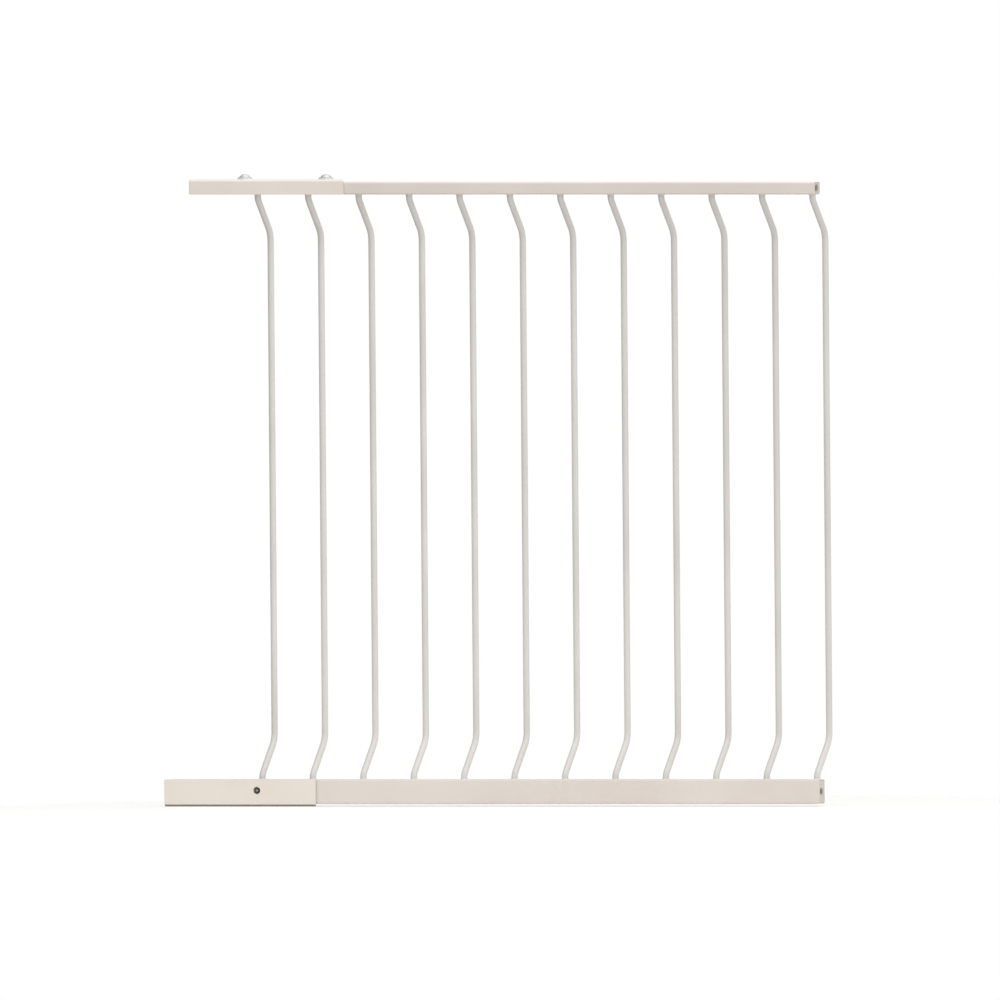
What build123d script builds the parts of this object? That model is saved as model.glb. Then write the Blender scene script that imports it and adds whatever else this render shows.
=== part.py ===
from build123d import *
import math
import os

os.makedirs("parts", exist_ok=True)

# Wide fixed panel that extends a pressure-mounted pet gate. All lengths are millimetres.
# +X runs along the panel towards the wall end, +Y towards the side that the bars bow to, +Z up.
# Working x is counted from the first bar and working y from the rails' middle; shift() moves
# every finished piece so that the origin is the middle of the panel's bounding box, at its base.

# Bars
BAR_COUNT = 12
BAR_PITCH = 79.0
BAR_D = 9.0
BAR_WALL = 1.0
BAR_BOW = 42.0  # how far the long middle stretch stands behind the rails
BAR_SLANT = 40.6  # degrees between the slanted stretch and upright
BAR_STUB = 1.8  # straight upright length between a rail and the first bend
STUB_BEND_R = 14.0
BOW_BEND_R = 30.0
BEAD_FOOT = 2.4  # how far a weld bead reaches out from its bar, against the rail
BEAD_TOE = 0.6  # and at its other edge

# Rails
PANEL_HEIGHT = 887.0  # floor to the upper face of the top rail
TOP_RAIL_HEIGHT = 18.0
BOTTOM_RAIL_HEIGHT = 35.0
RAIL_DEPTH = 20.0
RAIL_WALL = 1.2
RAIL_CORNER_R = 2.5
RAIL_PAST_LAST_BAR = 7.0
RAIL_BEFORE_FIRST_BAR = 42.5

# Joiners: folded channels that sleeve the rails' free ends
JOINER_WALL = 3.0
JOINER_CORNER_R = 3.6
JOINER_FIT = 0.5  # gap between a joiner's inside and its rail
JOINER_SET_BACK = 12.6  # how much further a joiner's front reaches than its back, at the rail end
TOP_JOINER_POCKET = 59.5  # empty length beyond the rail's end
TOP_JOINER_GRIP = 183.0  # length that covers the rail
BOTTOM_JOINER_POCKET = 105.9
BOTTOM_JOINER_GRIP = 132.0
SCREW_WINDOW_D = 10.8  # hole in the bottom joiner's front around the locking screw

# Joiner bolts through the top joiner, along x from the first bar
BOLT_X = (-19.8, 107.2)
BOLT_D = 7.9
BOLT_LENGTH = 16.0
BOLT_HEAD_D = 15.0
BOLT_HEAD_H = 6.0  # from the seat to the crown
BOLT_HEAD_RIM = 2.4  # from the seat to the dome's edge
BOLT_FLANGE_D = 19.5
BOLT_FLANGE_T = 1.4
BOLT_SOCKET = 5.0  # hexagon across flats
BOLT_SOCKET_DEPTH = 2.8
BOLT_HOLE_D = 9.0
WASHER_D = 22.0
WASHER_T = 1.6
WASHER_HOLE_D = 8.5

# Rivet nuts set into the rails; their flanges fill the gap under the joiner
BOLT_NUT_D = 11.0
BOLT_NUT_LENGTH = 12.5
BOLT_NUT_FLANGE_D = 14.0
SCREW_NUT_D = 7.0
SCREW_NUT_LENGTH = 11.0
SCREW_NUT_FLANGE_D = 10.2
THREAD_CLEARANCE = 0.05  # radial, between a threaded shank and its nut

# Locking screw through the bottom joiner's front
SCREW_X = -3.1
SCREW_ABOVE_MIDDLE = 1.6  # how far the screw is above the bottom rail's middle
SCREW_D = 4.9
SCREW_LENGTH = 10.0
SCREW_HEAD_D = 7.8
SCREW_HEAD_H = 1.5
SCREW_SOCKET = 4.0
SCREW_SOCKET_DEPTH = 1.1
LOCK_WASHER_D = 8.2
LOCK_WASHER_T = 0.6
LOCK_WASHER_HOLE_D = 5.4
SHANK_CHAMFER = 0.6
SCREW_HEAD_CHAMFER = 0.4

# Plugs in the open rail ends
WALL_PLUG_LENGTH = 24.0
CLOSING_PLUG_LENGTH = 12.0
PLUG_LEAD_IN = 0.6  # chamfer around a plug's inner end
PLUG_FIT = 0.1
PLUG_RECESS = 0.5  # how far a plug's face sits inside the rail's end
SPINDLE_BORE_R = 5.2

# Worked out from the above
BAR_R = BAR_D / 2
PANEL_RUN = (BAR_COUNT - 1) * BAR_PITCH
BOTTOM_RAIL_BASE = JOINER_WALL + JOINER_FIT
BOTTOM_RAIL_TOP = BOTTOM_RAIL_BASE + BOTTOM_RAIL_HEIGHT
TOP_RAIL_BASE = PANEL_HEIGHT - TOP_RAIL_HEIGHT
JOINER_DEPTH = RAIL_DEPTH + 2 * (JOINER_FIT + JOINER_WALL)
RAIL_LEFT = -RAIL_BEFORE_FIRST_BAR
RAIL_RIGHT = PANEL_RUN + RAIL_PAST_LAST_BAR
RAIL_FRONT = -RAIL_DEPTH / 2
MID_X = (RAIL_LEFT - max(TOP_JOINER_POCKET, BOTTOM_JOINER_POCKET) + RAIL_RIGHT) / 2
MID_Y = (BAR_BOW + BAR_R - JOINER_DEPTH / 2) / 2
STANDING = (Align.CENTER, Align.CENTER, Align.MIN)


def shift(shape):
    """Moves a piece from working x and y to the panel's own origin."""
    return Pos(-MID_X, -MID_Y, 0) * shape


def post(radius, length, z=0.0):
    """An upright cylinder standing on z."""
    return Pos(0, 0, z) * Cylinder(radius, length, align=STANDING)


def rail_section(height, inset):
    """A rail's cross-section in the YZ plane, taken in from the outer surface by inset."""
    corner = RAIL_CORNER_R - inset
    return Plane.YZ * RectangleRounded(RAIL_DEPTH - 2 * inset, height - 2 * inset, corner)


def rail(base, height):
    """A rectangular tube along X with its underside at base."""
    length = RAIL_RIGHT - RAIL_LEFT
    section = rail_section(height, 0) - rail_section(height, RAIL_WALL)
    return Pos(RAIL_LEFT, 0, base + height / 2) * extrude(section, length, dir=(1, 0, 0))


def bar(x):
    """A round tube from rail to rail, bent back at both ends so that its middle stands behind the rails."""
    turn = math.radians(BAR_SLANT)
    knee = BAR_STUB + STUB_BEND_R * math.tan(turn / 2)
    elbow = knee + BAR_BOW / math.tan(turn)
    route = FilletPolyline(
        (x, 0, BOTTOM_RAIL_TOP),
        (x, 0, BOTTOM_RAIL_TOP + knee),
        (x, BAR_BOW, BOTTOM_RAIL_TOP + elbow),
        (x, BAR_BOW, TOP_RAIL_BASE - elbow),
        (x, 0, TOP_RAIL_BASE - knee),
        (x, 0, TOP_RAIL_BASE),
        radius=[STUB_BEND_R, BOW_BEND_R, BOW_BEND_R, STUB_BEND_R],
    )
    start = Plane((x, 0, BOTTOM_RAIL_TOP), z_dir=(0, 0, 1))
    tube_wall = Circle(BAR_R) - Circle(BAR_R - BAR_WALL)
    return sweep(start * tube_wall, path=route)


def weld_bead(x, z, up):
    """The ring of weld around a bar's end, widest against the rail's face at z."""
    ring = Cone(BAR_R + BEAD_FOOT, BAR_R + BEAD_TOE, BAR_STUB, align=STANDING) - post(BAR_R, BAR_STUB)
    return Pos(x, 0, z) * (ring if up else Rot(180, 0, 0) * ring)


def joiner(length, height, left, back):
    """A U channel along X, open upwards, with its web's underside at z = 0 and rounded folds.

    Its rail end is cut on a slant: back, 1 or -1, is the y direction of the side that ends first.
    """
    outer = RectangleRounded(JOINER_DEPTH, 2 * height, JOINER_CORNER_R)
    cavity_depth = RAIL_DEPTH + 2 * JOINER_FIT
    cavity = RectangleRounded(cavity_depth, 2 * (height - JOINER_WALL), JOINER_CORNER_R - JOINER_WALL)
    channel = extrude(Plane.YZ * (outer - cavity), length, dir=(1, 0, 0))
    channel -= Box(length, 2 * JOINER_DEPTH, height, align=(Align.MIN, Align.CENTER, Align.MIN))
    slant = math.degrees(math.atan(JOINER_SET_BACK / JOINER_DEPTH))
    past_end = Box(JOINER_DEPTH, 4 * JOINER_DEPTH, 4 * height, align=(Align.MIN, Align.CENTER, Align.CENTER))
    channel -= Pos(length, -back * JOINER_DEPTH / 2, 0) * Rot(0, 0, back * slant) * past_end
    return Pos(left, 0, height) * channel


def rivet_nut(body_d, bore_r, length, flange_d):
    """A rivet nut with its rail's outer face at z = 0: flange above, threaded body below."""
    nut = post(body_d / 2, length, -length) + post(flange_d / 2, JOINER_FIT)
    return nut - post(bore_r, length + JOINER_FIT, -length)


def hexagon(across_flats, depth, top):
    """A hexagonal socket cutter that reaches down from top by depth."""
    outline = RegularPolygon(across_flats / 2, 6, major_radius=False)
    return Pos(0, 0, top - depth) * extrude(outline, depth)


def domed_bolt():
    """A flanged socket bolt with a domed head and its seat at z = 0."""
    rise = BOLT_HEAD_H - BOLT_HEAD_RIM
    radius = BOLT_HEAD_D / 2
    dome_r = (radius**2 + rise**2) / (2 * rise)
    head = post(radius, BOLT_HEAD_H) & (Pos(0, 0, BOLT_HEAD_H - dome_r) * Sphere(dome_r))
    head += post(BOLT_FLANGE_D / 2, BOLT_FLANGE_T)
    shank = chamfer(post(BOLT_D / 2, BOLT_LENGTH, -BOLT_LENGTH).edges().sort_by(Axis.Z)[0], SHANK_CHAMFER)
    return head + shank - hexagon(BOLT_SOCKET, BOLT_SOCKET_DEPTH, BOLT_HEAD_H)


def low_screw():
    """A low-headed socket screw with its head's seat at z = 0."""
    head = chamfer(post(SCREW_HEAD_D / 2, SCREW_HEAD_H).edges().sort_by(Axis.Z)[-1], SCREW_HEAD_CHAMFER)
    shank = chamfer(post(SCREW_D / 2, SCREW_LENGTH, -SCREW_LENGTH).edges().sort_by(Axis.Z)[0], SHANK_CHAMFER)
    return head + shank - hexagon(SCREW_SOCKET, SCREW_SOCKET_DEPTH, SCREW_HEAD_H)


def washer(outer_d, hole_d, thickness):
    """A flat washer lying on z = 0."""
    return post(outer_d / 2, thickness) - post(hole_d / 2, thickness)


def wall_plug(base, height):
    """A moulded plug in a rail's wall end, with a bore right through it for a pressure spindle."""
    face = RAIL_RIGHT - PLUG_RECESS
    body = extrude(rail_section(height, RAIL_WALL + PLUG_FIT), WALL_PLUG_LENGTH, dir=(-1, 0, 0))
    body = chamfer(body.faces().sort_by(Axis.X)[0].edges(), PLUG_LEAD_IN)
    bore = extrude(Plane.YZ * Circle(SPINDLE_BORE_R), WALL_PLUG_LENGTH, dir=(-1, 0, 0))
    return Pos(face, 0, base + height / 2) * (body - bore)


def closing_plug(base, height):
    """A solid moulded plug that closes a rail's joiner end."""
    face = RAIL_LEFT + PLUG_RECESS
    body = extrude(rail_section(height, RAIL_WALL + PLUG_FIT), CLOSING_PLUG_LENGTH, dir=(1, 0, 0))
    body = chamfer(body.faces().sort_by(Axis.X)[-1].edges(), PLUG_LEAD_IN)
    return Pos(face, 0, base + height / 2) * body


def above_rail(x):
    """Places a fastener's rail face, at z = 0, on the top rail's upper face."""
    return Pos(x, 0, PANEL_HEIGHT)


# The locking screw drives in along +Y, so its rail face is the bottom rail's front.
screw_z = BOTTOM_RAIL_BASE + BOTTOM_RAIL_HEIGHT / 2 + SCREW_ABOVE_MIDDLE
into_front = Pos(SCREW_X, RAIL_FRONT, screw_z) * Rot(90, 0, 0)

# Rails, with the rivet nuts' holes
top_rail = rail(TOP_RAIL_BASE, TOP_RAIL_HEIGHT)
for x in BOLT_X:
    top_rail -= above_rail(x) * post(BOLT_NUT_D / 2, RAIL_WALL, -RAIL_WALL)
bottom_rail = rail(BOTTOM_RAIL_BASE, BOTTOM_RAIL_HEIGHT)
bottom_rail -= into_front * post(SCREW_NUT_D / 2, RAIL_WALL, -RAIL_WALL)

# Joiners, with the fasteners' holes
top_length = TOP_JOINER_POCKET + TOP_JOINER_GRIP
top_height = JOINER_WALL + JOINER_FIT + TOP_RAIL_HEIGHT
top_joiner = joiner(top_length, top_height, RAIL_LEFT - TOP_JOINER_POCKET, back=-1)
top_joiner = Pos(0, 0, TOP_RAIL_BASE + top_height) * (Rot(180, 0, 0) * top_joiner)
for x in BOLT_X:
    top_joiner -= above_rail(x) * post(BOLT_HOLE_D / 2, JOINER_WALL, JOINER_FIT)
bottom_length = BOTTOM_JOINER_POCKET + BOTTOM_JOINER_GRIP
bottom_joiner = joiner(bottom_length, BOTTOM_RAIL_TOP, RAIL_LEFT - BOTTOM_JOINER_POCKET, back=1)
bottom_joiner -= into_front * post(SCREW_WINDOW_D / 2, JOINER_WALL, JOINER_FIT)

nodes = {
    "top_rail": top_rail,
    "bottom_rail": bottom_rail,
    "top_joiner": top_joiner,
    "bottom_joiner": bottom_joiner,
    "top_wall_plug": wall_plug(TOP_RAIL_BASE, TOP_RAIL_HEIGHT),
    "bottom_wall_plug": wall_plug(BOTTOM_RAIL_BASE, BOTTOM_RAIL_HEIGHT),
    "top_closing_plug": closing_plug(TOP_RAIL_BASE, TOP_RAIL_HEIGHT),
    "bottom_closing_plug": closing_plug(BOTTOM_RAIL_BASE, BOTTOM_RAIL_HEIGHT),
}

bar_places = [i * BAR_PITCH for i in range(BAR_COUNT)]
for number, x in enumerate(bar_places, start=1):
    nodes[f"bar_{number:02d}"] = bar(x)
nodes["top_weld_beads"] = Compound([weld_bead(x, TOP_RAIL_BASE, up=False) for x in bar_places])
nodes["bottom_weld_beads"] = Compound([weld_bead(x, BOTTOM_RAIL_TOP, up=True) for x in bar_places])

# Fasteners, seated: each head presses its washer on the joiner or on the nut's flange
bolt_bore_r = BOLT_D / 2 + THREAD_CLEARANCE
for number, x in enumerate(BOLT_X, start=1):
    on_joiner = above_rail(x) * Pos(0, 0, JOINER_FIT + JOINER_WALL)
    nut = rivet_nut(BOLT_NUT_D, bolt_bore_r, BOLT_NUT_LENGTH, BOLT_NUT_FLANGE_D)
    nodes[f"joiner_bolt_{number}"] = on_joiner * Pos(0, 0, WASHER_T) * domed_bolt()
    nodes[f"bolt_washer_{number}"] = on_joiner * washer(WASHER_D, WASHER_HOLE_D, WASHER_T)
    nodes[f"bolt_rivet_nut_{number}"] = above_rail(x) * nut

screw_bore_r = SCREW_D / 2 + THREAD_CLEARANCE
screw_nut = rivet_nut(SCREW_NUT_D, screw_bore_r, SCREW_NUT_LENGTH, SCREW_NUT_FLANGE_D)
nodes["screw_rivet_nut"] = into_front * screw_nut
lock_washer = washer(LOCK_WASHER_D, LOCK_WASHER_HOLE_D, LOCK_WASHER_T)
nodes["lock_washer"] = into_front * Pos(0, 0, JOINER_FIT) * lock_washer
nodes["locking_screw"] = into_front * Pos(0, 0, JOINER_FIT + LOCK_WASHER_T) * low_screw()

for name, shape in nodes.items():
    export_step(shift(shape), f"parts/{name}.step")
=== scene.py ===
import math

import bmesh
import bpy
from mathutils import Matrix, Vector, noise


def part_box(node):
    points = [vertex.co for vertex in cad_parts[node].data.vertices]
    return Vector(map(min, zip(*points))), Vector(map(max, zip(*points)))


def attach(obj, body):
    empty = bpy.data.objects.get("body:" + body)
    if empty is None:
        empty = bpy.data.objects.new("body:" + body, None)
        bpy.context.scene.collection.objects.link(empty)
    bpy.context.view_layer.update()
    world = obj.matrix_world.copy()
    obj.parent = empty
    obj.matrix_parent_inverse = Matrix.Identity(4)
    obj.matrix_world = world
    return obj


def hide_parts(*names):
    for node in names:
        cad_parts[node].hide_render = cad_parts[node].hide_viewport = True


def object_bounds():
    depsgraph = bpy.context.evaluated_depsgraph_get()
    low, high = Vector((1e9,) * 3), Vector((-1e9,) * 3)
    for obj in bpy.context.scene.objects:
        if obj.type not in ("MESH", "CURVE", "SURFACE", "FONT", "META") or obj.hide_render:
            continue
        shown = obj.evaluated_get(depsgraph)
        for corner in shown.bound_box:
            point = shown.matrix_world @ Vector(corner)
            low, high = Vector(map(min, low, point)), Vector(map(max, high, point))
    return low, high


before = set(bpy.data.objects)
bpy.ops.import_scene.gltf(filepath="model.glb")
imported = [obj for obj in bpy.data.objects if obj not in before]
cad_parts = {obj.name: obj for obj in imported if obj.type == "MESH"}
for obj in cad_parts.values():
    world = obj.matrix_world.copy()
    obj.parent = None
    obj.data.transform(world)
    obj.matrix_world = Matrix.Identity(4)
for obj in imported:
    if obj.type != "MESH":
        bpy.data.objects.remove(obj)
cad_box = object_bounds()

# Wide fixed panel that extends a pressure-mounted pet gate: twelve bowed bars welded between two rails,
# with channel joiners bolted on at one end. Sizes are in millimetres and are turned to metres by MM.
MM = 0.001

# Sizes that the frame's boxes don't give
BAR_SLANT = math.radians(40.6)
BAR_STUB = 1.8
STUB_BEND_R = 14.0
BOW_BEND_R = 30.0
RAIL_CORNER_R = 2.5
RAIL_WALL = 1.2
JOINER_CORNER_R = 3.6
OPEN_END_R = 1.9
JOINER_WALL = 3.0
JOINER_SET_BACK = 12.6
BEAD_FOOT = 2.4
BOLT_D = 7.9
BOLT_PITCH = 1.25
BOLT_HEAD_D = 15.0
BOLT_HEAD_H = 6.0
BOLT_HEAD_RIM = 2.4
BOLT_FLANGE_T = 1.4
BOLT_SOCKET = 5.0
BOLT_SOCKET_DEPTH = 2.8
BOLT_HOLE_D = 9.0
WASHER_HOLE_D = 8.5
SCREW_D = 4.9
SCREW_PITCH = 0.8
SCREW_HEAD_H = 1.5
SCREW_SOCKET = 4.0
SCREW_SOCKET_DEPTH = 1.1
SCREW_WINDOW_D = 10.8
LOCK_WASHER_HOLE_D = 5.4
SPINDLE_BORE_D = 10.4

# Edge rounding, in millimetres
RAIL_END_R = 0.25
JOINER_EDGE_R = 0.45
PLUG_EDGE_R = 0.3
PLUG_GAP = 0.1
BOLT_SOCKET_EDGE_R = 0.18
SCREW_SOCKET_EDGE_R = 0.2
LOCK_WASHER_EDGE_R = 0.08
NYLON_WASHER_EDGE = 0.4

# How finely round shapes are cut
BAR_SIDES = 32
ROUND_SIDES = 48
BEAD_SIDES = 60
STUB_BEND_STEPS = 8
BOW_BEND_STEPS = 14
DOME_STEPS = 10

# How far a cutter reaches past the surface that it cuts, in millimetres
CUTTER_CLEAR = 2


# ---------------------------------------------------------------- mesh tools


def as_object(bm, name):
    """A new object in the scene that holds bm's mesh. bm is freed."""
    mesh = bpy.data.meshes.new(name)
    bm.to_mesh(mesh)
    bm.free()
    made = bpy.data.objects.new(name, mesh)
    bpy.context.scene.collection.objects.link(made)
    return made


def finish_piece(bm, name, body, nodes, material, others=(), crease=35.0):
    """Makes bm a smooth-shaded piece of the object, riding on body and standing for the CAD nodes."""
    bmesh.ops.recalc_face_normals(bm, faces=bm.faces)
    made = as_object(bm, name)
    for finish in (material, *others):
        made.data.materials.append(finish)
    made.data.shade_smooth()
    made.data.set_sharp_from_angle(angle=math.radians(crease))
    shading = made.modifiers.new("flat faces stay flat", "WEIGHTED_NORMAL")
    shading.keep_sharp = True
    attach(made, body)
    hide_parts(*nodes)
    return made


def carve(bm, *tools):
    """Takes the tools' volumes out of bm, and returns the mesh that is left. All of them are freed."""
    stock = as_object(bm, "stock")
    cutters = [as_object(tool, "cutter") for tool in tools]
    for cutter in cutters:
        cut = stock.modifiers.new("cut", "BOOLEAN")
        cut.object = cutter
        cut.solver = "EXACT"
    bpy.context.view_layer.update()
    evaluated = stock.evaluated_get(bpy.context.evaluated_depsgraph_get())
    left = bmesh.new()
    left.from_mesh(evaluated.to_mesh())
    evaluated.to_mesh_clear()
    for spent in [stock, *cutters]:
        bpy.data.meshes.remove(spent.data)
    bmesh.ops.remove_doubles(left, verts=left.verts, dist=0.002 * MM)
    return left


def soften(bm, edges, radius, segments=3):
    """Rounds edges to a radius in millimetres."""
    bmesh.ops.bevel(
        bm, geom=edges, offset=radius * MM, offset_type="OFFSET", affect="EDGES",
        segments=segments, profile=0.5, material=-1, clamp_overlap=True,
    )


def block(low, high):
    """A box between two corners, in metres."""
    bm = bmesh.new()
    bmesh.ops.create_cube(bm, size=1.0)
    bmesh.ops.scale(bm, vec=high - low, verts=bm.verts)
    bmesh.ops.translate(bm, vec=(low + high) / 2, verts=bm.verts)
    return bm


def rod(start, end, diameter, sides=ROUND_SIDES):
    """A closed cylinder or prism between two points in metres, with its diameter in millimetres."""
    bm = bmesh.new()
    along = end - start
    bmesh.ops.create_cone(
        bm, cap_ends=True, cap_tris=False, segments=sides,
        radius1=diameter / 2 * MM, radius2=diameter / 2 * MM, depth=along.length,
    )
    turn = along.to_track_quat("Z", "X").to_matrix()
    bmesh.ops.rotate(bm, cent=(0, 0, 0), matrix=turn, verts=bm.verts)
    bmesh.ops.translate(bm, vec=(start + end) / 2, verts=bm.verts)
    return bm


def edges_along(bm, axis):
    """The straight edges of a mesh that run along one axis, 0, 1 or 2."""
    found = []
    for edge in bm.edges:
        run = edge.verts[1].co - edge.verts[0].co
        if abs(run[axis]) > 0.999 * run.length:
            found.append(edge)
    return found


def sharp_edges(bm, least=60.0):
    """The edges where two faces meet at least this many degrees apart."""
    return [e for e in bm.edges if e.is_manifold and e.calc_face_angle(0) > math.radians(least)]


def turned(profile, sides=ROUND_SIDES):
    """A closed solid of revolution about Z. Its (radius, height) points start and end on the axis."""
    bm = bmesh.new()
    verts = [bm.verts.new((r * MM, 0, z * MM)) for r, z in profile]
    edges = [bm.edges.new(pair) for pair in zip(verts, verts[1:])]
    bmesh.ops.spin(
        bm, geom=verts + edges, cent=(0, 0, 0), axis=(0, 0, 1), angle=math.tau,
        steps=sides, use_merge=True,
    )
    bmesh.ops.remove_doubles(bm, verts=bm.verts, dist=0.001 * MM)
    return bm


def ring_of(section, sides=ROUND_SIDES):
    """A closed ring about Z, from the (radius, height) points round its section, in millimetres."""
    bm = bmesh.new()
    verts = [bm.verts.new((r * MM, 0, z * MM)) for r, z in section]
    edges = [bm.edges.new(pair) for pair in zip(verts, verts[1:] + verts[:1])]
    bmesh.ops.spin(
        bm, geom=verts + edges, cent=(0, 0, 0), axis=(0, 0, 1), angle=math.tau,
        steps=sides, use_merge=True,
    )
    return bm


def placed(bm, origin, axis):
    """Moves a mesh made about Z so that its own origin and Z axis lie at origin along axis."""
    turn = Vector(axis).to_track_quat("Z", "X").to_matrix()
    bmesh.ops.rotate(bm, cent=(0, 0, 0), matrix=turn, verts=bm.verts)
    bmesh.ops.translate(bm, vec=origin, verts=bm.verts)
    return bm


def joined(*parts):
    """One mesh that holds several. The parts are freed."""
    whole = bmesh.new()
    for part in parts:
        mesh = bpy.data.meshes.new("part")
        part.to_mesh(mesh)
        part.free()
        whole.from_mesh(mesh)
        bpy.data.meshes.remove(mesh)
    return whole


# ---------------------------------------------------------------- materials


def linear(colour):
    """An sRGB hex colour, such as "e1d9d0", as linear red, green, blue and alpha."""
    parts = [int(colour[i : i + 2], 16) / 255 for i in (0, 2, 4)]
    return [p / 12.92 if p <= 0.04045 else ((p + 0.055) / 1.055) ** 2.4 for p in parts] + [1.0]


def add(tree, kind, inputs=None, **settings):
    """Adds a node to a tree, with its settings, and its inputs as values or as sockets to link from."""
    made = tree.nodes.new(kind)
    for key, value in settings.items():
        setattr(made, key, value)
    for key, value in (inputs or {}).items():
        if isinstance(value, bpy.types.NodeSocket):
            tree.links.new(value, made.inputs[key])
        else:
            made.inputs[key].default_value = value
    return made


def new_material(name):
    """An empty material, its node tree, its output node and its object coordinates."""
    material = bpy.data.materials.new(name)
    material.use_nodes = True
    tree = material.node_tree
    tree.nodes.clear()
    output = add(tree, "ShaderNodeOutputMaterial")
    where = add(tree, "ShaderNodeTexCoord").outputs["Object"]
    return material, tree, output, where


def speckle(tree, where, size, detail, roughness=0.5):
    """A noise between 0 and 1 whose features are size millimetres across."""
    inputs = {"Vector": where, "Scale": 1 / (size * MM), "Detail": detail, "Roughness": roughness}
    return add(tree, "ShaderNodeTexNoise", inputs).outputs["Fac"]


def rescale(tree, value, start, end, low=0.0, high=1.0):
    """Takes a value's range from start to end over to the range from low to high."""
    inputs = {"Value": value, "From Min": start, "From Max": end, "To Min": low, "To Max": high}
    return add(tree, "ShaderNodeMapRange", inputs).outputs["Result"]


def between(tree, share, first, second):
    """A colour that goes from first to second as share goes from 0 to 1."""
    mixed = add(tree, "ShaderNodeMix", {"Factor": share, 6: first, 7: second}, data_type="RGBA")
    return mixed.outputs[2]


def uneven(tree, height, strength, depth):
    """The surface normal over a relief depth millimetres deep."""
    inputs = {"Strength": strength, "Distance": depth * MM, "Height": height}
    return add(tree, "ShaderNodeBump", inputs).outputs["Normal"]


def surface(tree, output, inputs):
    """Ends a material in one principled shader."""
    shader = add(tree, "ShaderNodeBsdfPrincipled", inputs)
    tree.links.new(shader.outputs["BSDF"], output.inputs["Surface"])


# The parts of a noise's range over which tone and gloss go from one end to the other
TONE_RANGE = (0.35, 0.65)
GLOSS_RANGE = (0.3, 0.7)
# Heights above the floor, in millimetres, where the painted floor shade starts to fade and is gone
FLOOR_SHADE_LEVELS = (2.2, 3.4)


def powder_coat(name, body, thick, floor_shade=None):
    """Polyester powder coat, sprayed and baked on steel: a satin skin with faint orange peel.

    Its tone drifts slowly from body to thick, where the film is thicker. If a floor_shade colour is given,
    the coat is darkened to that colour in its lowest few millimetres: painted shade next to the floor.
    """
    material, tree, output, where = new_material(name)
    drift = speckle(tree, where, 140, 2.0)
    colour = between(tree, rescale(tree, drift, *TONE_RANGE), linear(body), linear(thick))
    if floor_shade:
        # Painted shade: the coat darkens to the given colour in its lowest few millimetres, where the
        # floor meets it.
        level = add(tree, "ShaderNodeSeparateXYZ", {"Vector": where}).outputs["Z"]
        full_shade_z, no_shade_z = (cad_box[0].z + above * MM for above in FLOOR_SHADE_LEVELS)
        colour = between(tree, rescale(tree, level, no_shade_z, full_shade_z), colour, linear(floor_shade))
    # Real orange peel is 1 to 2 mm across. It is drawn at 2.4 mm so that it shows.
    peel = speckle(tree, where, 2.4, 2.0, roughness=0.45)
    grit = speckle(tree, where, 0.5, 1.0)
    relief = add(tree, "ShaderNodeMath", {0: grit, 1: 0.25, 2: peel}, operation="MULTIPLY_ADD")
    surface(tree, output, {
        "Base Color": colour,
        "Roughness": rescale(tree, peel, *GLOSS_RANGE, 0.36, 0.46),
        "IOR": 1.5,
        "Normal": uneven(tree, relief.outputs[0], 0.6, 0.06),
    })
    return material


def plated_steel(name, bright, dull, smoothest, roughest):
    """Steel with a thin finish over it, such as zinc plate or black oxide, a little cloudy and grained."""
    material, tree, output, where = new_material(name)
    cloud = speckle(tree, where, 4, 3.0)
    grain = speckle(tree, where, 0.35, 1.0)
    surface(tree, output, {
        "Base Color": between(tree, rescale(tree, cloud, *TONE_RANGE), linear(bright), linear(dull)),
        "Metallic": 1.0,
        "Roughness": rescale(tree, cloud, *GLOSS_RANGE, smoothest, roughest),
        "Normal": uneven(tree, grain, 0.5, 0.01),
    })
    return material


def moulded_nylon(name, body, shade):
    """Nylon, injection moulded in a spark-eroded tool: faint flow marks and a fine matt grain."""
    material, tree, output, where = new_material(name)
    flow = speckle(tree, where, 12, 2.0)
    grain = speckle(tree, where, 0.4, 1.0)
    surface(tree, output, {
        "Base Color": between(tree, flow, linear(body), linear(shade)),
        "Roughness": 0.5,
        "IOR": 1.53,
        "Normal": uneven(tree, grain, 0.5, 0.02),
    })
    return material


rail_coat = powder_coat("satin_powder_coat_rails", "e0d8d0", "dbd1c9")
bar_coat = powder_coat("satin_powder_coat_bars", "d4d1cc", "cdcac5")
# The joiners' coat darkens to 8f8880 in its lowest few millimetres: painted shade next to the floor.
joiner_coat = powder_coat("satin_powder_coat_joiners", "e9e1d8", "e5dbd1", floor_shade="8f8880")
bright_zinc = plated_steel("bright_zinc_plate", "d9dadb", "cbcdcf", 0.56, 0.66)
dull_zinc = plated_steel("dull_zinc_plate", "a3a7a8", "868a8c", 0.34, 0.48)
black_oxide = plated_steel("black_oxide_steel", "4a4845", "35332f", 0.30, 0.44)
washer_nylon = moulded_nylon("moulded_nylon_natural", "e3e0d8", "dbd7ce")
plug_nylon = moulded_nylon("moulded_nylon_warm_grey", "cdc6bf", "c5beb6")


# ---------------------------------------------------------------- rails


def make_rail(node):
    """A cold-formed rectangular tube with rounded corners, open and deburred at its ends."""
    low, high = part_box(node)
    bm = block(low, high)
    soften(bm, edges_along(bm, 0), RAIL_CORNER_R, segments=8)
    ends = [f for f in bm.faces if abs(f.normal.x) > 0.9]
    bmesh.ops.delete(bm, geom=ends, context="FACES")
    bmesh.ops.solidify(bm, geom=bm.faces, thickness=RAIL_WALL * MM)
    soften(bm, sharp_edges(bm), RAIL_END_R, segments=2)
    return finish_piece(bm, node + "_tube", "panel", [node], rail_coat)


for rail_node in ("top_rail", "bottom_rail"):
    make_rail(rail_node)


# ---------------------------------------------------------------- bars


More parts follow.
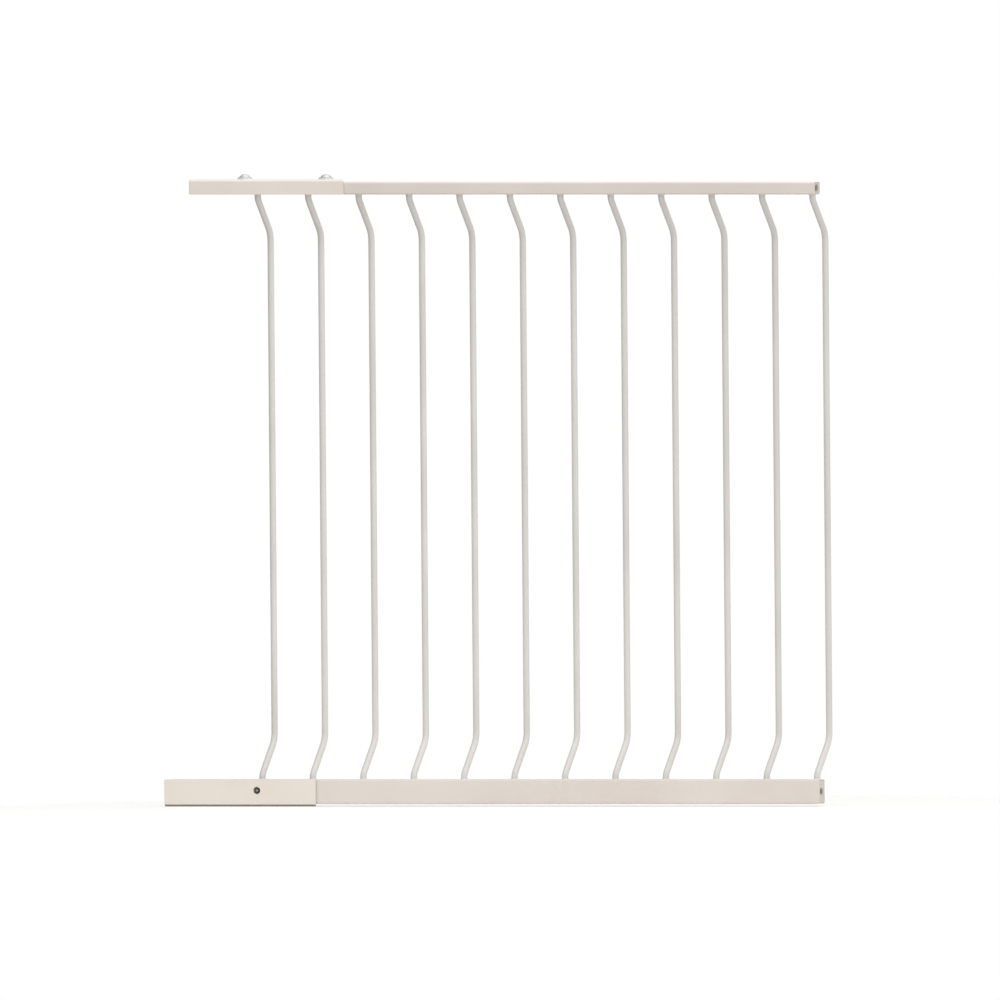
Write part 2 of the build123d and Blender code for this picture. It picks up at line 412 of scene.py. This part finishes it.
def run_on(bm, ring, step):
    """Extends a tube's open ring of edges in a straight line, and returns the new ring."""
    grown = bmesh.ops.extrude_edge_only(bm, edges=ring)["geom"]
    verts = [g for g in grown if isinstance(g, bmesh.types.BMVert)]
    bmesh.ops.translate(bm, vec=step, verts=verts)
    return [g for g in grown if isinstance(g, bmesh.types.BMEdge) and all(v in verts for v in g.verts)]


def bend_on(bm, ring, centre, angle, steps):
    """Carries a tube's open ring of edges round a bend about the X direction, and returns the new ring."""
    verts = list({v for e in ring for v in e.verts})
    spun = bmesh.ops.spin(
        bm, geom=verts + ring, cent=centre, axis=(1, 0, 0), angle=angle, steps=steps, use_merge=False,
    )
    return [g for g in spun["geom_last"] if isinstance(g, bmesh.types.BMEdge)]


def make_bar(node):
    """A round tube that leaves each rail upright, slants back and turns upright again."""
    low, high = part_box(node)
    radius = (high.x - low.x) / 2
    at = Vector(((low.x + high.x) / 2, low.y + radius, low.z))
    bow = high.y - radius - at.y
    stub = Vector((0, 0, BAR_STUB * MM))
    small_r = STUB_BEND_R * MM
    large_r = BOW_BEND_R * MM
    slant_out = Vector((0, math.sin(BAR_SLANT), math.cos(BAR_SLANT)))
    slant_in = Vector((0, -slant_out.y, slant_out.z))
    bends_bow = (small_r + large_r) * (1 - math.cos(BAR_SLANT))
    slant_length = (bow - bends_bow) / math.sin(BAR_SLANT)
    end_rise = stub.z + (small_r + large_r) * math.sin(BAR_SLANT) + slant_length * math.cos(BAR_SLANT)
    middle = Vector((0, 0, high.z - low.z - 2 * end_rise))

    bm = bmesh.new()
    bmesh.ops.create_circle(bm, cap_ends=False, segments=BAR_SIDES, radius=radius)
    bmesh.ops.translate(bm, vec=at, verts=bm.verts)
    ring = run_on(bm, bm.edges[:], stub)
    at += stub
    ring = bend_on(bm, ring, at + Vector((0, small_r, 0)), -BAR_SLANT, STUB_BEND_STEPS)
    at += Vector((0, small_r * (1 - math.cos(BAR_SLANT)), small_r * math.sin(BAR_SLANT)))
    ring = run_on(bm, ring, slant_out * slant_length)
    at += slant_out * slant_length
    at += Vector((0, large_r * (1 - math.cos(BAR_SLANT)), large_r * math.sin(BAR_SLANT)))
    ring = bend_on(bm, ring, at - Vector((0, large_r, 0)), BAR_SLANT, BOW_BEND_STEPS)
    ring = run_on(bm, ring, middle)
    at += middle
    ring = bend_on(bm, ring, at - Vector((0, large_r, 0)), BAR_SLANT, BOW_BEND_STEPS)
    at += Vector((0, -large_r * (1 - math.cos(BAR_SLANT)), large_r * math.sin(BAR_SLANT)))
    ring = run_on(bm, ring, slant_in * slant_length)
    at += slant_in * slant_length
    at += Vector((0, -small_r * (1 - math.cos(BAR_SLANT)), small_r * math.sin(BAR_SLANT)))
    ring = bend_on(bm, ring, at + Vector((0, small_r, 0)), -BAR_SLANT, STUB_BEND_STEPS)
    run_on(bm, ring, stub)
    bmesh.ops.holes_fill(bm, edges=[e for e in bm.edges if e.is_boundary], sides=0)
    return finish_piece(bm, node + "_tube", "panel", [node], bar_coat)


bar_nodes = sorted(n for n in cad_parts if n.startswith("bar_"))
for bar_node in bar_nodes:
    make_bar(bar_node)


# ---------------------------------------------------------------- weld beads


# How deep a bead bites into the tube and the rail, its ripples, and its slower wander, in millimetres
BEAD_SINK = 0.3
BEAD_RIPPLES = 11
RIPPLE_HEIGHT = 0.10
WANDER_HEIGHT = 0.30
WANDER_RATE = 1.7


def bead(bar_node, low_end):
    """One hand-run fillet weld round a bar's end, rippled and a little uneven, coated with the rest."""
    low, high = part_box(bar_node)
    radius = (high.x - low.x) / 2
    foot = Vector(((low.x + high.x) / 2, low.y + radius, low.z if low_end else high.z))
    bar_r = radius / MM
    # From the rail's face up to the bar, a little hollow
    throat = [
        (bar_r + BEAD_FOOT * (1 - math.sin(a)) ** 1.2, BAR_STUB * (1 - math.cos(a)) ** 0.9)
        for a in (math.radians(degrees) for degrees in range(0, 91, 15))
    ]
    base = [(bar_r - BEAD_SINK, -BEAD_SINK), (bar_r + BEAD_FOOT, -BEAD_SINK)]
    bm = ring_of([*base, *throat, (bar_r - BEAD_SINK, BAR_STUB)], BEAD_SIDES)
    for v in bm.verts:
        out = Vector((v.co.x, v.co.y, 0))
        share = (out.length - radius) / (BEAD_FOOT * MM)
        if share > 0:
            angle = math.atan2(v.co.y, v.co.x)
            # Each bead has its own seed, from its place along the rail and the rail that it is on.
            seed = Vector((math.cos(angle), math.sin(angle), foot.x * 40 + (7 if low_end else 0)))
            ripple = RIPPLE_HEIGHT * math.sin(BEAD_RIPPLES * angle + 5 * noise.noise(seed))
            ripple += WANDER_HEIGHT * noise.noise(seed * WANDER_RATE)
            v.co += out.normalized() * ripple * share * MM
            if v.co.z > 0:
                v.co.z += 0.5 * ripple * min(1.0, v.co.z / (BAR_STUB * MM)) * MM
    if not low_end:
        upside_down = Matrix.Rotation(math.pi, 3, "X")
        bmesh.ops.rotate(bm, cent=(0, 0, 0), matrix=upside_down, verts=bm.verts)
    bmesh.ops.translate(bm, vec=foot, verts=bm.verts)
    return bm


for bead_node, at_low_end in (("bottom_weld_beads", True), ("top_weld_beads", False)):
    beads = joined(*[bead(n, at_low_end) for n in bar_nodes])
    finish_piece(beads, bead_node + "_run", "panel", [bead_node], bar_coat, crease=80)


# ---------------------------------------------------------------- joiners


def channel(node, opens_up):
    """A folded U channel along X: round folds, flat flanges and softened cut edges."""
    low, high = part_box(node)
    bm = block(low, high)
    side = 1 if opens_up else -1
    folds = [e for e in edges_along(bm, 0) if side * (e.verts[0].co.z - (low.z + high.z) / 2) < 0]
    soften(bm, folds, JOINER_CORNER_R, segments=8)
    open_faces = [f for f in bm.faces if abs(f.normal.x) > 0.9 or side * f.normal.z > 0.9]
    bmesh.ops.delete(bm, geom=open_faces, context="FACES")
    bmesh.ops.solidify(bm, geom=bm.faces, thickness=JOINER_WALL * MM)
    bmesh.ops.recalc_face_normals(bm, faces=bm.faces)
    # The rail end is cut on a slant, so that the front reaches further than the back.
    bmesh.ops.bisect_plane(
        bm, geom=bm.verts[:] + bm.edges[:] + bm.faces[:], dist=1e-7, clear_outer=True,
        plane_co=(high.x, low.y, 0), plane_no=(high.y - low.y, JOINER_SET_BACK * MM, 0),
    )
    bmesh.ops.holes_fill(bm, edges=[e for e in bm.edges if e.is_boundary], sides=0)
    # The open end's outer edges are dressed rounder than the other cut edges.
    middle = (low + high) / 2
    outer = []
    for edge in bm.edges:
        centre = (edge.verts[0].co + edge.verts[1].co) / 2
        side_faces = [f for f in edge.link_faces if abs(f.normal.x) < 0.5]
        if all(abs(v.co.x - low.x) < 0.01 * MM for v in edge.verts) and len(side_faces) == 1:
            if side_faces[0].normal.dot(centre - middle) > 0:
                outer.append(edge)
    soften(bm, outer, OPEN_END_R, segments=5)
    return bm


def finish_joiner(bm, node, *holes):
    """Cuts a joiner's holes, rounds its cut edges and makes it a piece."""
    bm = carve(bm, *holes)
    soften(bm, sharp_edges(bm), JOINER_EDGE_R)
    return finish_piece(bm, node + "_channel", "panel", [node], joiner_coat)


def make_bottom_joiner():
    """The bottom joiner, with the round window in its front that the locking screw sits in."""
    low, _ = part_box("bottom_joiner")
    screw_low, screw_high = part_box("locking_screw")
    centre = (screw_low + screw_high) / 2
    window = rod(
        Vector((centre.x, low.y - CUTTER_CLEAR * MM, centre.z)),
        Vector((centre.x, low.y + (JOINER_WALL + CUTTER_CLEAR) * MM, centre.z)),
        SCREW_WINDOW_D,
    )
    finish_joiner(channel("bottom_joiner", opens_up=True), "bottom_joiner", window)


def make_top_joiner():
    """The top joiner, with the bolts' clearance holes in its web."""
    _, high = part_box("top_joiner")
    holes = []
    for number in (1, 2):
        bolt_low, bolt_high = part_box(f"joiner_bolt_{number}")
        centre = (bolt_low + bolt_high) / 2
        top = Vector((centre.x, centre.y, high.z + CUTTER_CLEAR * MM))
        depth = Vector((0, 0, (JOINER_WALL + 2 * CUTTER_CLEAR) * MM))
        holes.append(rod(top - depth, top, BOLT_HOLE_D))
    finish_joiner(channel("top_joiner", opens_up=False), "top_joiner", *holes)


make_bottom_joiner()
make_top_joiner()


# ---------------------------------------------------------------- fasteners


def thread(major, pitch, length):
    """A right-hand thread from z = 0 down to z = -length, closed at both ends."""
    depth = 0.61 * pitch
    turns = int(length / pitch) + 3
    bm = bmesh.new()
    verts = []
    for i in range(turns):
        top = pitch * (1.5 - i)
        for share, r in ((0, 0), (0.12, 0), (0.44, depth), (0.56, depth), (0.88, 0)):
            verts.append(bm.verts.new(((major / 2 - depth + r) * MM, 0, (top - share * pitch) * MM)))
    edges = [bm.edges.new(pair) for pair in zip(verts, verts[1:])]
    bmesh.ops.spin(
        bm, geom=verts + edges, cent=(0, 0, 0), axis=(0, 0, 1), angle=math.tau,
        dvec=(0, 0, pitch * MM / ROUND_SIDES), steps=ROUND_SIDES, use_merge=False,
    )
    bmesh.ops.remove_doubles(bm, verts=bm.verts, dist=0.01 * MM)
    for height, inner in ((0.0, False), (-length * MM, True)):
        bmesh.ops.bisect_plane(
            bm, geom=bm.verts[:] + bm.edges[:] + bm.faces[:], dist=1e-7,
            plane_co=(0, 0, height), plane_no=(0, 0, 1), clear_outer=not inner, clear_inner=inner,
        )
    bmesh.ops.holes_fill(bm, edges=[e for e in bm.edges if e.is_boundary], sides=0)
    return bm


def bolt_head_profile(flange_r):
    """The (radius, height) outline of a flanged domed head, from the middle of its seat to its crown."""
    radius = BOLT_HEAD_D / 2
    rise = BOLT_HEAD_H - BOLT_HEAD_RIM
    dome_r = (radius**2 + rise**2) / (2 * rise)
    reach = math.asin((radius - 0.2) / dome_r)
    crown = [
        (dome_r * math.sin(reach * s), BOLT_HEAD_H - dome_r * (1 - math.cos(reach * s)))
        for s in (i / DOME_STEPS for i in range(DOME_STEPS, 0, -1))
    ]
    flange = [
        (flange_r - 0.3, 0.0), (flange_r - 0.05, 0.1), (flange_r, 0.35), (flange_r, BOLT_FLANGE_T - 0.55),
        (flange_r - 0.15, BOLT_FLANGE_T - 0.2), (flange_r - 0.55, BOLT_FLANGE_T),
    ]
    neck = [
        (radius + 0.5, BOLT_FLANGE_T), (radius + 0.1, BOLT_FLANGE_T + 0.15), (radius, BOLT_FLANGE_T + 0.5),
    ]
    return [(0.0, 0.0), *flange, *neck, (radius, BOLT_HEAD_RIM - 0.1), *crown, (0.0, BOLT_HEAD_H)]


def hex_bit(across_flats, depth, top):
    """The cutter for a hexagonal socket that reaches depth below top, in millimetres."""
    point_to_point = across_flats / math.cos(math.pi / 6)
    floor = Vector((0, 0, (top - depth) * MM))
    return rod(floor, Vector((0, 0, (top + CUTTER_CLEAR) * MM)), point_to_point, sides=6)


def socket_rim(head, across_flats):
    """The sharp edges of a socket in a head that is still about the Z axis."""
    reach = across_flats * 0.7 * MM
    return [e for e in sharp_edges(head, 50) if all(v.co.xy.length < reach for v in e.verts)]


def make_joiner_bolt(number):
    """A plated socket bolt with a flanged dome, on top of the top joiner."""
    node = f"joiner_bolt_{number}"
    low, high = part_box(node)
    _, washer_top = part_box(f"bolt_washer_{number}")
    seat = Vector(((low.x + high.x) / 2, (low.y + high.y) / 2, washer_top.z))
    socket = hex_bit(BOLT_SOCKET, BOLT_SOCKET_DEPTH, BOLT_HEAD_H)
    head = carve(turned(bolt_head_profile((high.x - low.x) / 2 / MM)), socket)
    soften(head, socket_rim(head, BOLT_SOCKET), BOLT_SOCKET_EDGE_R, segments=2)
    shank = thread(BOLT_D, BOLT_PITCH, (washer_top.z - low.z) / MM)
    bolt = placed(joined(head, shank), seat, (0, 0, 1))
    body = f"top_bolt_{number}"
    return finish_piece(bolt, f"domed_bolt_{number}", body, [node], bright_zinc)


def flat_ring(outer, inner, thickness, edge):
    """A flat ring on z = 0, with rolled edges on its upper side."""
    return ring_of([
        (inner / 2 + edge / 2, 0), (outer / 2 - edge / 3, 0),
        (outer / 2, edge / 3), (outer / 2, thickness - edge),
        (outer / 2 - edge * 0.3, thickness - edge * 0.3), (outer / 2 - edge, thickness),
        (inner / 2 + edge / 2, thickness), (inner / 2, thickness - edge / 2), (inner / 2, edge / 2),
    ])


def make_bolt_washer(number):
    """The nylon washer that keeps a bolt's flange off the joiner's coat."""
    node = f"bolt_washer_{number}"
    low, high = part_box(node)
    seat = Vector(((low.x + high.x) / 2, (low.y + high.y) / 2, low.z))
    ring = flat_ring((high.x - low.x) / MM, WASHER_HOLE_D, (high.z - low.z) / MM, NYLON_WASHER_EDGE)
    placed(ring, seat, (0, 0, 1))
    body = f"top_bolt_{number}_washer"
    return finish_piece(ring, f"nylon_washer_{number}", body, [node], washer_nylon)


# How much of the split washer's thickness its climb takes up, and how far round its wire goes
SPLIT_SHARE = 0.2
SPLIT_TURN = math.radians(346)


def make_lock_washer():
    """The split spring washer under the locking screw's head: a section that climbs as it goes round."""
    low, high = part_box("lock_washer")
    seat = Vector(((low.x + high.x) / 2, high.y, (low.z + high.z) / 2))
    inner = LOCK_WASHER_HOLE_D / 2
    outer = (high.x - low.x) / 2 / MM
    thickness = (high.y - low.y) / MM
    wire = thickness * (1 - SPLIT_SHARE)
    bm = bmesh.new()
    corners = [(inner, 0.0), (outer, 0.0), (outer, wire), (inner, wire)]
    verts = [bm.verts.new((r * MM, 0, z * MM)) for r, z in corners]
    edges = [bm.edges.new(pair) for pair in zip(verts, verts[1:] + verts[:1])]
    climb = SPLIT_SHARE * thickness * MM / ROUND_SIDES
    bmesh.ops.spin(
        bm, geom=verts + edges, cent=(0, 0, 0), axis=(0, 0, 1), angle=SPLIT_TURN,
        dvec=(0, 0, climb), steps=ROUND_SIDES, use_merge=False,
    )
    bmesh.ops.holes_fill(bm, edges=[e for e in bm.edges if e.is_boundary], sides=0)
    soften(bm, sharp_edges(bm, 50), LOCK_WASHER_EDGE_R, segments=2)
    placed(bm, seat, (0, -1, 0))
    body = "front_screw_washer"
    return finish_piece(bm, "split_washer", body, ["lock_washer"], dull_zinc)


def make_locking_screw():
    """The low-headed socket screw in the window of the bottom joiner."""
    low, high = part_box("locking_screw")
    radius = (high.x - low.x) / 2 / MM
    seat = Vector(((low.x + high.x) / 2, low.y + SCREW_HEAD_H * MM, (low.z + high.z) / 2))
    outline = [
        (0, 0), (radius - 0.3, 0), (radius, 0.25), (radius, SCREW_HEAD_H - 0.45),
        (radius - 0.15, SCREW_HEAD_H - 0.18), (radius - 0.5, SCREW_HEAD_H), (0, SCREW_HEAD_H),
    ]
    head = carve(turned(outline), hex_bit(SCREW_SOCKET, SCREW_SOCKET_DEPTH, SCREW_HEAD_H))
    soften(head, socket_rim(head, SCREW_SOCKET), SCREW_SOCKET_EDGE_R, segments=2)
    # The socket, and a little of its rim, get the lighter zinc: a painted highlight where its inner faces
    # catch the light.
    for face in head.faces:
        centre = face.calc_center_median()
        if centre.xy.length < SCREW_SOCKET * 0.62 * MM and centre.z > 0.2 * MM:
            face.material_index = 1
    shank = thread(SCREW_D, SCREW_PITCH, (high.y - low.y) / MM - SCREW_HEAD_H)
    screw = placed(joined(head, shank), seat, (0, -1, 0))
    return finish_piece(
        screw, "socket_screw", "front_screw", ["locking_screw"], black_oxide,
        others=[dull_zinc],
    )


for fastener in (1, 2):
    make_joiner_bolt(fastener)
    make_bolt_washer(fastener)
make_lock_washer()
make_locking_screw()

for nut in ("bolt_rivet_nut_1", "bolt_rivet_nut_2", "screw_rivet_nut"):
    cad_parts[nut].data.materials.clear()
    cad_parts[nut].data.materials.append(dull_zinc)


# ---------------------------------------------------------------- plugs


def make_plug(node, bored):
    """A moulded plug with a plain face and rounded edges. A wall plug is bored through for its spindle."""
    low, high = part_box(node)
    bm = block(low, high)
    soften(bm, edges_along(bm, 0), RAIL_CORNER_R - RAIL_WALL - PLUG_GAP, segments=4)
    if bored:
        middle = (low + high) / 2
        past = Vector((CUTTER_CLEAR * MM, 0, 0))
        start = Vector((low.x, middle.y, middle.z)) - past
        bm = carve(bm, rod(start, Vector((high.x, middle.y, middle.z)) + past, SPINDLE_BORE_D))
    soften(bm, sharp_edges(bm), PLUG_EDGE_R, segments=2)
    return finish_piece(bm, node + "_moulding", "panel", [node], plug_nylon)


for level in ("top", "bottom"):
    make_plug(level + "_wall_plug", bored=True)
    make_plug(level + "_closing_plug", bored=False)


# ---------------------------------------------------------------- floor, light and camera


FLOOR_RADIUS = 0.78
FLOOR_SIDES = 96


def make_floor():
    """A plain pale floor, level with the underside of the bottom joiner."""
    bm = bmesh.new()
    bmesh.ops.create_circle(bm, cap_ends=True, segments=FLOOR_SIDES, radius=FLOOR_RADIUS)
    bmesh.ops.translate(bm, vec=(0, 0, cad_box[0].z), verts=bm.verts)
    floor = as_object(bm, "floor")
    material, tree, output, _ = new_material("pale_floor")
    surface(tree, output, {"Base Color": linear("fafaf9"), "Roughness": 0.9})
    floor.data.materials.append(material)


def add_light(name, place, size, power):
    """A soft square light, size metres across, aimed at the middle of the panel."""
    data = bpy.data.lights.new(name, "AREA")
    data.size = size
    data.energy = power
    light = bpy.data.objects.new(name, data)
    light.location = place
    target = (cad_box[0] + cad_box[1]) / 2
    light.rotation_euler = (target - Vector(place)).to_track_quat("-Z", "Y").to_euler()
    bpy.context.scene.collection.objects.link(light)


# The room's light comes mostly from the wall end, from the front and from above.
LIGHT_FROM = Vector((0.80, -0.30, 0.52)).normalized()
LIGHT_MEAN = 0.66
LIGHT_SWING = 0.55
OVERHEAD_PLACE = (0.3, -0.6, 3.0)
OVERHEAD_SIZE = 2.4
OVERHEAD_POWER = 29


def light_room():
    """A white backdrop, and soft light that falls off towards the joiners' end and the floor."""
    world = bpy.data.worlds.new("white_room")
    world.use_nodes = True
    tree = world.node_tree
    tree.nodes.clear()
    direction = add(tree, "ShaderNodeTexCoord").outputs["Generated"]
    facing = add(tree, "ShaderNodeVectorMath", {0: direction, 1: LIGHT_FROM}, operation="DOT_PRODUCT")
    dimmest = LIGHT_MEAN - LIGHT_SWING
    level = rescale(tree, facing.outputs["Value"], -1.0, 1.0, dimmest, LIGHT_MEAN + LIGHT_SWING)
    room = add(tree, "ShaderNodeBackground", {"Color": (1, 1, 1, 1), "Strength": level})
    backdrop = add(tree, "ShaderNodeBackground", {"Color": (1, 1, 1, 1), "Strength": 1.0})
    seen = add(tree, "ShaderNodeLightPath").outputs["Is Camera Ray"]
    sources = {0: seen, 1: room.outputs["Background"], 2: backdrop.outputs["Background"]}
    mixed = add(tree, "ShaderNodeMixShader", sources)
    output = add(tree, "ShaderNodeOutputWorld")
    tree.links.new(mixed.outputs["Shader"], output.inputs["Surface"])
    bpy.context.scene.world = world
    bpy.context.scene.view_settings.view_transform = "Standard"
    add_light("overhead", OVERHEAD_PLACE, OVERHEAD_SIZE, OVERHEAD_POWER)


CAMERA_AZIMUTH = math.radians(25)
CAMERA_ELEVATION = math.radians(1)
CAMERA_WIDTH = 1.42
CAMERA_DISTANCE = 4.0
CAMERA_AIM = Vector((11.8, -16.5, 435.0)) * MM


def make_camera():
    """A long-lens view from the front and a little to the right, rolled so that the rails lie level."""
    data = bpy.data.cameras.new("camera")
    data.type = "ORTHO"
    data.ortho_scale = CAMERA_WIDTH
    camera = bpy.data.objects.new("camera", data)
    level = Vector((math.cos(CAMERA_AZIMUTH), math.sin(CAMERA_AZIMUTH), 0))
    back = Vector((
        math.sin(CAMERA_AZIMUTH) * math.cos(CAMERA_ELEVATION),
        -math.cos(CAMERA_AZIMUTH) * math.cos(CAMERA_ELEVATION),
        math.sin(CAMERA_ELEVATION),
    ))
    upward = back.cross(level)
    roll = math.atan(math.tan(CAMERA_AZIMUTH) * math.sin(CAMERA_ELEVATION))
    right = level * math.cos(roll) - upward * math.sin(roll)
    top = back.cross(right)
    turn = Matrix((right, top, back)).transposed().to_4x4()
    camera.matrix_world = Matrix.Translation(CAMERA_AIM + back * CAMERA_DISTANCE) @ turn
    bpy.context.scene.collection.objects.link(camera)
    bpy.context.scene.camera = camera


make_floor()
light_room()
make_camera()
